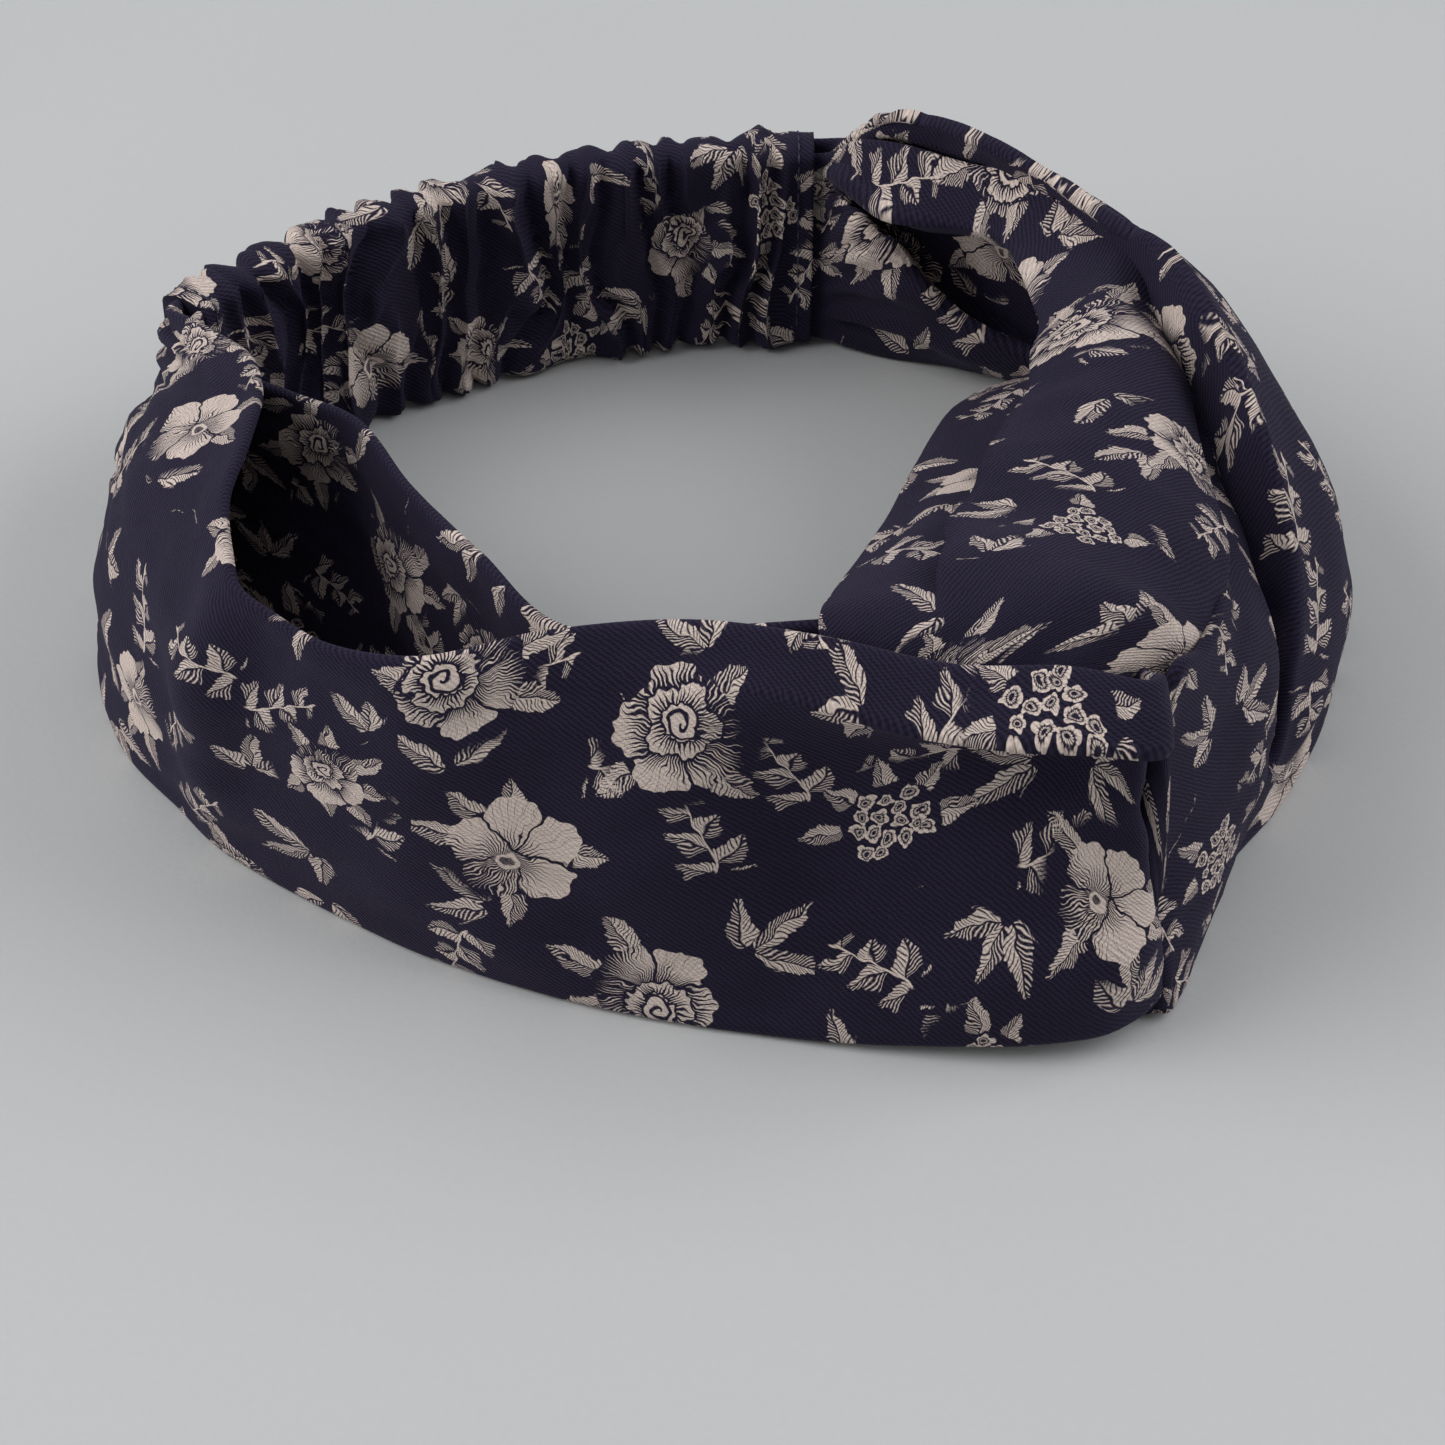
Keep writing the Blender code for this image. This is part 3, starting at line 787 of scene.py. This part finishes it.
# Right band: each section runs from its inner or lower edge to its outer or upper one. FIRST and SECOND mark
# the points where the cloth is creased.
RIGHT_SECTIONS = (
    upright(10.5, 84.6),
    ((19, 84.6, 1.5), (19, 84.6, 29, FIRST), (19, 84.6, 34, SECOND), (19, 84.6, 36.6)),
    ((24, 83.2, 0.8), (24, 79.5, 16), (23.5, 76.5, 30, FIRST), (24.5, 81.5, 28), (24.2, 81.5, 33),
     (23, 75.5, 37.2, SECOND), (23.5, 79, 42)),
    ((31, 81, 0), (30.5, 75.5, 12), (30, 71.8, 25.5, FIRST), (31, 77.5, 20), (32, 82, 21.5),
     (31.5, 81, 29), (28, 66, 37.2, SECOND), (29, 72.5, 45.5)),
    ((42, 78.5, 0), (41, 71, 7.5), (40.5, 68.8, 15.5, FIRST), (43.5, 73.5, 10), (47, 78, 13),
     (47, 76, 24), (41, 56, 40, SECOND), (41, 63, 47)),
    ((51, 73, 0.8), (52.2, 68, 5), (52.5, 65, 10.5, FIRST), (56, 69.5, 8), (60, 69.5, 12),
     (58.5, 61, 26), (46, 48, 42, SECOND), (51.5, 54, 50)),
    ((46.5, 61, 6), (54.5, 60, 9.5), (61.5, 56, 17), (59, 48, 29), (48.5, 32, 44.5, SECOND),
     (60, 43, 51.5)),
    ((42, 51, 11), (50, 51, 14), (59, 42, 23), (58.5, 36, 33), (49.5, 21, 46, SECOND), (64, 31, 53)),
    ((38, 40, 16), (46, 38, 21), (56, 28, 31), (55.5, 21, 39), (48, 8.5, 47.5, SECOND),
     (58, 14, 52), (65.5, 18, 47)),
    ((33.5, 20, 24), (43, 18, 29), (50, 8, 38), (45.5, -5, 49, SECOND), (56, -1, 52.5),
     (63, 1, 50.5), (68, 3, 44.5)),
    ((29, 0, 31), (39, -2, 36), (45, -11, 43), (41, -17, 51, SECOND), (53, -14, 53.5),
     (63, -13, 50.5), (68.5, -12, 44.5)),
    ((24.5, -20, 38), (34, -22, 43), (39, -28, 48), (36.5, -31, 53, SECOND), (50, -29, 54.5),
     (63, -28, 51), (69.5, -28, 44)),
    ((20, -39, 45), (28, -40, 49), (33.5, -43, 52.3), (32, -44, 54.5, SECOND), (46, -43, 55.5),
     (61, -43, 52), (68.5, -43, 45.5)),
    ((16, -55, 51), (24, -56, 53.8), (30.5, -57.5, 55.3), (30, -58.5, 56.8), (45, -56, 57.5),
     (58, -57, 53), (63, -56.5, 47), (64, -56, 41)),
    ((14, -64, 54), (22, -66, 55.8), (29, -68, 57), (43, -65.5, 58), (53, -65, 56),
     (58.5, -63.5, 50.5), (60.2, -62, 43)),
    ((15, -68, 50), (27, -72.5, 52.5), (36, -73, 53), (44, -73, 53.5), (51, -71.5, 50)),
    ((17, -69, 38), (50, -69.5, 38)),
    ((19, -69, 22), (50, -69.5, 22)),
    ((27, -70, 8), (51, -69, 9)),
    ((44, -76, 1.4), (56, -64, 1.6)),
    ((56.5, -79, 1.2), (59, -70.5, 1.6)),
    ((61.6, -76.5, 0.5), (60.8, -75.5, 7), (56.7, -73, 20), (56.5, -72, 33), (58, -71, 50)),
    ((65.5, -66, 0.3), (66.5, -63, 14), (65.5, -62, 28), (64, -62, 39), (62.6, -62, 48.5)),
    ((72, -48, 0.2), (75.5, -45.5, 12), (76, -44.5, 26), (73, -43.5, 38), (66, -44.5, 46)),
    ((79, -38.5, 0), (78.5, -40, 12.5, FIRST), (74.5, -38, 14, SECOND), (76, -35, 28),
     (73, -33.5, 38), (64.5, -35, 46)),
    ((86, -25, 0), (85.5, -29.5, 14), (80, -34.5, 28, FIRST), (75, -31, 26, SECOND), (74, -26, 34),
     (66, -25, 45)),
    ((91, -11, 0), (89.5, -17, 20), (79.5, -25, 40.5, FIRST), (73, -20.5, 34.5, SECOND),
     (71.5, -16, 38.5), (66.5, -14, 43.5)),
    ((93.5, 3, 0), (91.5, -2, 23), (86, -5, 36), (74.8, -9.5, 52, FIRST), (71, -5.5, 43, SECOND),
     (68, -1, 41)),
    ((92, 18, 0), (89.5, 14, 24), (80, 9, 43.5), (69.8, 6, 56.5, FIRST), (67.3, 9.5, 48, SECOND),
     (67.5, 13, 43)),
    ((87, 33, 0), (85, 30, 24), (76.5, 23.5, 44), (66, 19.5, 57.2, FIRST), (64, 22.5, 49.5, SECOND),
     (65, 25, 45)),
    ((79, 48, 0), (77.5, 45, 23), (69, 38, 44.5), (59.5, 32.5, 55, FIRST), (58.4, 35, 50.5, SECOND),
     (60.5, 37.5, 47)),
    ((67, 62, 0), (65.5, 60, 23), (59, 54, 43), (51, 49.5, 53, FIRST), (50.6, 51.8, 49.2, SECOND),
     (52, 54, 46)),
    ((51, 75, 0), (50, 73.5, 22), (46, 70, 41), (40, 64.5, 51.4, FIRST), (39.4, 66.5, 47.6, SECOND),
     (41, 69, 45)),
    ((34, 85.5, 0.3), (33.5, 85, 20), (32, 83, 37.5), (28, 76, 48.2, FIRST),
     (27.8, 77.5, 45, SECOND), (29, 79.5, 42)),
    upright(19, 89.3),
    upright(10.5, 89.3),
)


def bellied_sections(rails):
    """Sections from rails: the straight line from lower to upper edge, bellied out square to the band."""
    middles = [(np.array(low) + np.array(high)) / 2 for low, high, _ in rails]
    sections = []
    for k, (low, high, belly) in enumerate(rails):
        travel = middles[min(k + 1, len(rails) - 1)] - middles[max(k - 1, 0)]
        low = np.array(low, float)
        rise = np.array(high, float) - low
        out = unit(np.cross(travel, rise))
        points = [low + rise * s + out * b for s, b in zip(BELLY_SHARES, (0, *belly, 0))]
        if belly[-1] > LIP:
            points[-2] = (*points[-2], SECOND)
        sections.append(points)
    return sections


USUAL_CREASES = ((FIRST, 0.45), (SECOND, 0.88))


def crease_shares(curves):
    """Where each section's two creases lie, as shares of its width. A section without one borrows it from its
    neighbours."""
    table = []
    for name, usual in USUAL_CREASES:
        rows = [k for k, curve in enumerate(curves) if name in curve[2]]
        found = [curves[k][2][name] for k in rows]
        table.append(np.interp(range(len(curves)), rows or [0], found or [usual]))
    return np.stack(table, axis=-1)


def column_places(first, second):
    """Places across a band in mm, at one section. A column lies on each crease, and columns are closer
    together where the cloth rolls over at its folded edges."""
    roll = np.array(EDGE_PLACES)
    low = np.linspace(EDGE_MARGIN, first * BAND_WIDTH, OUTER_COLUMNS)
    mid = np.linspace(first * BAND_WIDTH, second * BAND_WIDTH, MIDDLE_COLUMNS)
    high = np.linspace(second * BAND_WIDTH, BAND_WIDTH - EDGE_MARGIN, OUTER_COLUMNS)
    return np.concatenate([roll, low, mid[1:], high[1:], BAND_WIDTH - roll[::-1]])


def band_sheet(sections):
    """The middle surface of a band: a grid of points, how far along each row is, and how far across each
    point."""
    curves = [section_curve(section) for section in sections]
    places = np.array([column_places(*shares) for shares in crease_shares(curves)])
    rows = []
    for (dense, share, _), place in zip(curves, places):
        rows.append(np.stack([np.interp(place / BAND_WIDTH, share, dense[:, k]) for k in range(3)], axis=-1))
    rows = np.array(rows)
    knots = travelled(rows.mean(axis=1))
    at = np.linspace(0, knots[-1], int(knots[-1] / MESH_STEP))
    sheet = smooth_through(rows, knots, at)
    sheet[1:-1] = (sheet[1:-1] * 2 + sheet[:-2] + sheet[2:]) / 4
    across = np.stack([np.interp(at, knots, column) for column in places.T], axis=-1)
    along = travelled(sheet.mean(axis=1))
    return sheet, along, across


def normals(sheet):
    """Directions square to the sheet, evened out so that the cloth's faces don't cross at a sharp bend."""
    out = unit(np.cross(np.gradient(sheet, axis=0), np.gradient(sheet, axis=1)))
    for _ in range(2):
        out[:, 1:-1] = out[:, 1:-1] * 2 + out[:, :-2] + out[:, 2:]
        out[1:-1] = out[1:-1] * 2 + out[:-2] + out[2:]
        out = unit(out)
    return out


# Pleats that fan out from a join, in mm: where they start, how soon they fade, their height and two widths.
GATHER_START = 7.0
GATHER_FADE = 20.0
GATHER_HEIGHT = 1.15
BROAD_PLEAT = 7.4
NARROW_PLEAT = 4.1


def gathers(u, v, end, seed):
    """Pleats that fan out from a join at distance `end` along the band."""
    away = np.abs(u - end)
    fade = np.exp(-np.maximum(away - GATHER_START, 0) / GATHER_FADE)
    strength = ramp(away, GATHER_START, GATHER_START + 7) * fade
    drift = rumple(u, v, 26.0, 16.0, seed) * 0.9
    wave = np.sin(TAU * (v / BROAD_PLEAT + drift))
    wave = wave + 0.45 * np.sin(TAU * (v / NARROW_PLEAT + drift * 1.6) + 1.3)
    return strength * wave * GATHER_HEIGHT


def creases(u, v, length, seed):
    """Soft folds and small wrinkles over the whole band."""
    soft = rumple(u + v * 0.7, v - u * 0.15, 34.0, 15.0, seed) * 1.35
    fine = rumple(u - v * 0.6, v, 13.0, 6.5, seed + 1) * 0.6
    tiny = rumple(u, v, 4.2, 3.4, seed + 2) * 0.14
    ends = ramp(np.minimum(u, length - u), GATHER_START + 1, GATHER_START + 12)
    return (soft + fine + tiny) * ends


def band_rings(sheet, along, across, seed):
    """Front and back faces of a pressed tube round its middle surface."""
    u = along[:, None]
    v = across
    length = along[-1]
    edge = np.minimum(v, BAND_WIDTH - v)
    inside_edge = ramp(edge, 0.0, 5.0) * 0.75 + 0.25
    lift = gathers(u, v, 0.0, seed) + gathers(u, v, length, seed + 5)
    lift = lift + creases(u, v, length, seed) * inside_edge
    middle = sheet + normals(sheet) * lift[..., None]
    roll = np.sqrt(1 - (1 - np.clip(edge / EDGE_ROLL, 0, 1)) ** 2)
    tuck = ramp(np.minimum(u, length - u), GATHER_START, GATHER_START + 10)
    puff = (rumple(u, v, 18.0, 12.0, seed + 9) * 0.5 + 0.5) * PUFF * tuck
    half = (BAND_HALF + puff) * roll
    offset = normals(middle) * half[..., None]
    back = (middle - offset)[:, -2:0:-1]
    return np.concatenate([middle + offset, back], axis=1), middle


# A point that is lower than REST_LEVEL + SETTLE is pressed up towards REST_LEVEL, in mm above the table.
REST_LEVEL = 0.05
SETTLE = 0.85


def lift_off_table(rings):
    """Nothing goes through the table: points below it flatten onto it."""
    low = rings[..., 2]
    free = REST_LEVEL + SETTLE
    rings[..., 2] = np.where(low < free, REST_LEVEL + SETTLE * np.exp((low - free) / SETTLE), low)
    return rings


def make_band(name, sections, seed):
    """A band's cloth, and the grid of its middle surface."""
    sheet, along, across = band_sheet(sections)
    rings, middle = band_rings(sheet, along, across, seed)
    rings = lift_off_table(rings)
    around = 2 * BAND_WIDTH
    about = np.concatenate([across, around - across[:, -2:0:-1], np.full((len(along), 1), around)], axis=1)
    a, b = np.broadcast_arrays(along[:, None], about)
    flowers = layout(along[-1], around, BAND_FLOWER_GAP, seed)
    sprigs = layout(along[-1], around, BAND_SPRIG_GAP, seed + 1)
    return cloth_tube(name, rings, a, b, around, flowers, sprigs, band_cloth), middle


left_band, left_middle = make_band("left_band_cloth", bellied_sections(LEFT_RAILS), LEFT_SEED)
right_band, right_middle = make_band("right_band_cloth", RIGHT_SECTIONS, RIGHT_SEED)


# ------------ the casing


def casing_frame(share):
    """Middle line of the casing: place, direction along and direction outwards, at shares of its length."""
    turn = np.radians(LEFT_JOIN_DEG + (RIGHT_JOIN_DEG - LEFT_JOIN_DEG) * np.asarray(share))
    outward = np.stack([np.cos(turn), np.sin(turn), np.zeros_like(turn)], axis=-1)
    ahead = np.stack([np.sin(turn), -np.cos(turn), np.zeros_like(turn)], axis=-1)
    place = np.array([*CASING_CENTRE, 0.0]) + outward * CASING_RADIUS
    return place, ahead, outward


FACE_COLUMNS = 44
RIM_COLUMNS = 7


def casing_ring():
    """The casing's section, from -1 to 1 across and up: two flat faces joined by two rounded rims."""
    height = np.linspace(-0.9, 0.9, FACE_COLUMNS)
    bow = np.linspace(0, math.pi, RIM_COLUMNS + 2)[1:-1]
    side = np.ones(FACE_COLUMNS)
    across = np.concatenate([-side, -np.cos(bow), side, np.cos(bow)])
    up = np.concatenate([height, 0.9 + 0.1 * np.sin(bow), -height, -0.9 - 0.1 * np.sin(bow)])
    return across[None, :], up[None, :]


def make_casing():
    """A tube of cloth gathered into upright ruches that lean, split and drift, flatter at the two joins."""
    arc = CASING_ARC
    stations = int(arc / CASING_STEP)
    share = np.linspace(0, 1, stations)[:, None]
    x, z = casing_ring()
    s = share * arc
    rise = (z + 1) / 2 * CASING_HEIGHT
    ends = ramp(np.minimum(s, arc - s), 1.0, 9.0)
    seed = CASING_SEED
    side = np.where(x < 0, 0.0, 40.0)
    drift = rumple(s + side, rise, 13.0, 24.0, seed) * 1.05
    drift = drift + rumple(s + side, rise, 6.0, 10.0, seed + 1) * 0.26
    beat = share * PLEATS + drift
    fine = np.abs(np.sin(math.pi * (beat * 1.9 + drift + 0.3)))
    fold = np.abs(np.sin(math.pi * beat)) ** 0.6 * 0.84 + fine * 0.2
    deep = 1.0 + 0.45 * rumple(s, rise, 11.0, 30.0, seed + 2)
    lean = np.sin(TAU * beat)
    place, ahead, outward = casing_frame(share[:, 0])
    half = CASING_HALF + (1 - ramp(np.minimum(s, arc - s), 0.0, 16.0)) * CASING_END_SWELL
    shift = x * (half + (fold * PLEAT_DEPTH * deep - 1.6) * ends)
    shift = shift + rumple(s, rise, 5.0, 5.0, seed + 3) * 0.25
    ripple = ((fold - 0.6) * 0.9 + rumple(s, np.zeros_like(rise), 9.0, 5.0, seed + 4) * 1.1) * ends
    top_bottom = np.sign(z) * np.abs(z) ** 3
    up = CASING_BOTTOM + CASING_HEIGHT / 2 * (1 + z * 0.985) + ripple * top_bottom
    slide = lean * ends * deep * (1 - np.abs(z) ** 4 * 0.7)
    rings = place[:, None] + outward[:, None] * shift[..., None] + ahead[:, None] * slide[..., None]
    rings = lift_off_table(rings + UP * up[..., None])
    around = 2 * (CASING_HEIGHT + 5)
    about = travelled(np.stack([x[0] * 3, z[0] * 19], axis=-1))
    about = np.concatenate([about, [about[-1] + 2]]) * around / (about[-1] + 2)
    along = travelled(rings[:, FACE_COLUMNS // 2])
    a, b = np.broadcast_arrays(along[:, None], about[None, :])
    flowers = layout(along[-1], around, CASING_FLOWER_GAP, CASING_PRINT_SEED)
    sprigs = layout(along[-1], around, CASING_SPRIG_GAP, CASING_PRINT_SEED + 1)
    name = "ruched_casing_cloth"
    return cloth_tube(name, rings, a, b, around, flowers, sprigs, casing_cloth), rings


casing, casing_rings = make_casing()


# ------------ elastic and threads


def make_elastic():
    """The flat elastic, slightly wavy, from one join to the other."""
    stations = int(CASING_ARC)
    share = np.linspace(ELASTIC_INSET, 1 - ELASTIC_INSET, stations)
    place, _, outward = casing_frame(share)
    wave = np.sin(share * TAU * ELASTIC_WAVES) * ELASTIC_SWAY
    heights = np.linspace(ELASTIC_LOW, ELASTIC_HIGH, ELASTIC_COLUMNS)
    verts = []
    for k in range(stations):
        for side, column in ((ELASTIC_HALF, heights), (-ELASTIC_HALF, heights[::-1])):
            for height in column:
                verts.append(place[k] + outward[k] * (wave[k] + side) + UP * height)
    faces = tube_faces(stations, 2 * ELASTIC_COLUMNS)
    return new_object("elastic_webbing_strip", to_world(verts), faces, elastic_look)


def stitches_along(path, pitch, gap):
    """Cuts a smooth path into stitches with a gap between them."""
    distance = travelled(path)
    stitches = []
    start = pitch
    while start + pitch < distance[-1]:
        at = np.linspace(start, start + pitch - gap, STITCH_POINTS)
        stitches.append(np.stack([np.interp(at, distance, path[:, k]) for k in range(3)], axis=-1))
        start += pitch
    return stitches


def join_topstitch(name, share):
    """A row of stitches round the casing's mouth, pulled a little into its surface."""
    ring = casing_rings[int(round(share * (len(casing_rings) - 1)))]
    middle = ring.mean(axis=0)
    path = ring + unit(ring - middle) * (THREAD_RADIUS * 0.75)
    path = np.concatenate([path, path[:4]])
    return thread_mesh(name, stitches_along(path, *TOPSTITCH))


def elastic_zigzag(name, share):
    """The zigzag that holds the elastic's end to the bands, inside the casing."""
    place, ahead, outward = casing_frame(share)
    corners = []
    for k, height in enumerate(np.linspace(ELASTIC_LOW + 3, ELASTIC_HIGH - 3, ZIGZAG_CORNERS)):
        sway = ZIGZAG_HALF if k % 2 else -ZIGZAG_HALF
        corners.append(place + outward * 0.75 + ahead * sway + UP * height)
    legs = [np.linspace(a, b, STITCH_POINTS) for a, b in zip(corners, corners[1:])]
    return thread_mesh(name, legs)


def band_lockstitch(name, middle):
    """The lengthwise seam inside a band, near the middle of its width."""
    path = middle[END_TRIM:-END_TRIM, middle.shape[1] // 2]
    return thread_mesh(name, stitches_along(path, *SEAM_STITCH))


def casing_lockstitch(name):
    """The lengthwise seam inside the casing, below the elastic."""
    line, _, outward = casing_frame(np.linspace(STRETCH_START, STRETCH_END, 60))
    path = line + outward * 0.9 + UP * 3.6
    return thread_mesh(name, stitches_along(path, *SEAM_STITCH))


elastic = make_elastic()
left_seam = band_lockstitch("left_band_lockstitch", left_middle)
right_seam = band_lockstitch("right_band_lockstitch", right_middle)
casing_seam = casing_lockstitch("casing_lockstitch")
left_stitch = join_topstitch("left_join_topstitch", TOPSTITCH_SHARE)
right_stitch = join_topstitch("right_join_topstitch", 1 - TOPSTITCH_SHARE)
left_zigzag = elastic_zigzag("left_elastic_zigzag", ZIGZAG_SHARE)
right_zigzag = elastic_zigzag("right_elastic_zigzag", 1 - ZIGZAG_SHARE)


# ------------ what rides on what

for piece, node in (
    (left_band, "left_band"),
    (right_band, "right_band"),
    (casing, "elastic_casing"),
    (elastic, "elastic_strip"),
    (left_seam, "left_band_seam"),
    (right_seam, "right_band_seam"),
    (casing_seam, "casing_seam"),
    (left_stitch, "left_join_stitching"),
    (right_stitch, "right_join_stitching"),
    (left_zigzag, "left_elastic_anchor"),
    (right_zigzag, "right_elastic_anchor"),
):
    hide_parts(node)

for piece in (left_band, left_seam, left_stitch, left_zigzag):
    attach(piece, "left_loop")
for piece in (right_stitch, right_zigzag):
    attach(piece, "right_loop")

# The right loop's cloth and seam, the casing, the elastic and the casing's seam go on no body; their
# placement is baked into their meshes.
for piece in (right_band, right_seam):
    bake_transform(piece)
for piece in (casing, elastic, casing_seam):
    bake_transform(piece)


# ------------ table, light and camera


TABLE_HALF = 2.5
LIGHT_DISTANCE = 1.8
LIGHT_SIZE = 1.6


def make_table():
    mesh = bpy.data.meshes.new("table_top")
    half = TABLE_HALF
    level = CAD_BOUNDS[0].z
    corners = [(x, y, level) for x, y in ((-half, -half), (half, -half), (half, half), (-half, half))]
    mesh.from_pydata(corners, [], [(0, 1, 2, 3)])
    mesh.materials.append(table_material())
    table = bpy.data.objects.new("table_top", mesh)
    bpy.context.scene.collection.objects.link(table)


def aimed(data, azimuth, elevation, distance, target=(0.0, 0.0, 0.0)):
    """An object for a light or camera that faces a target. Azimuth 0 is in front, 180 behind."""
    a = math.radians(azimuth)
    e = math.radians(elevation)
    away = Vector((math.sin(a) * math.cos(e), -math.cos(a) * math.cos(e), math.sin(e)))
    obj = bpy.data.objects.new(data.name, data)
    obj.location = Vector(target) + away * distance
    obj.rotation_mode = "QUATERNION"
    obj.rotation_quaternion = away.to_track_quat("Z", "Y")
    bpy.context.scene.collection.objects.link(obj)
    return obj


def area_light(name, azimuth, elevation, power, colour):
    """A soft square light that faces the ring."""
    light = bpy.data.lights.new(name, "AREA")
    light.shape = "SQUARE"
    light.size = LIGHT_SIZE
    light.energy = power
    light.color = colour
    aimed(light, azimuth, elevation, LIGHT_DISTANCE)


def make_world():
    """A room that is brightest above and a little to the left, and dim towards the camera."""
    world = bpy.data.worlds.new("studio")
    world.use_nodes = True
    tree = world.node_tree
    background = tree.nodes["Background"]
    background.inputs["Color"].default_value = (0.95, 0.97, 1.0, 1.0)
    x, y, z = split_numbers(tree, tree.nodes.new("ShaderNodeTexCoord").outputs["Generated"])
    bright = (z * 0.90 + y * 0.16 - x * 0.22).most(0.0)
    seen = Number(tree, tree.nodes.new("ShaderNodeLightPath").outputs["Is Camera Ray"])
    strength = (bright * 0.54 + 0.025) * (1.0 - seen) + seen * 0.5
    tree.links.new(strength.socket, background.inputs["Strength"])
    bpy.context.scene.world = world
    bpy.context.scene.view_settings.view_transform = "Standard"


CAMERA_ELEVATION = 39.0
CAMERA_DISTANCE = 0.465
CAMERA_FOV = 24.0
CAMERA_TARGET = to_world((2.0, -42.0, 20.0))


def make_camera():
    data = bpy.data.cameras.new("camera")
    data.angle = math.radians(CAMERA_FOV)
    data.clip_start = 0.01
    bpy.context.scene.camera = aimed(data, 0.0, CAMERA_ELEVATION, CAMERA_DISTANCE, CAMERA_TARGET)


make_table()
make_world()
area_light("window", -80.0, 34.0, 24.0, (1.0, 0.99, 0.98))
area_light("far_wall", 92.0, 34.0, 19.0, (0.99, 0.99, 1.0))
make_camera()
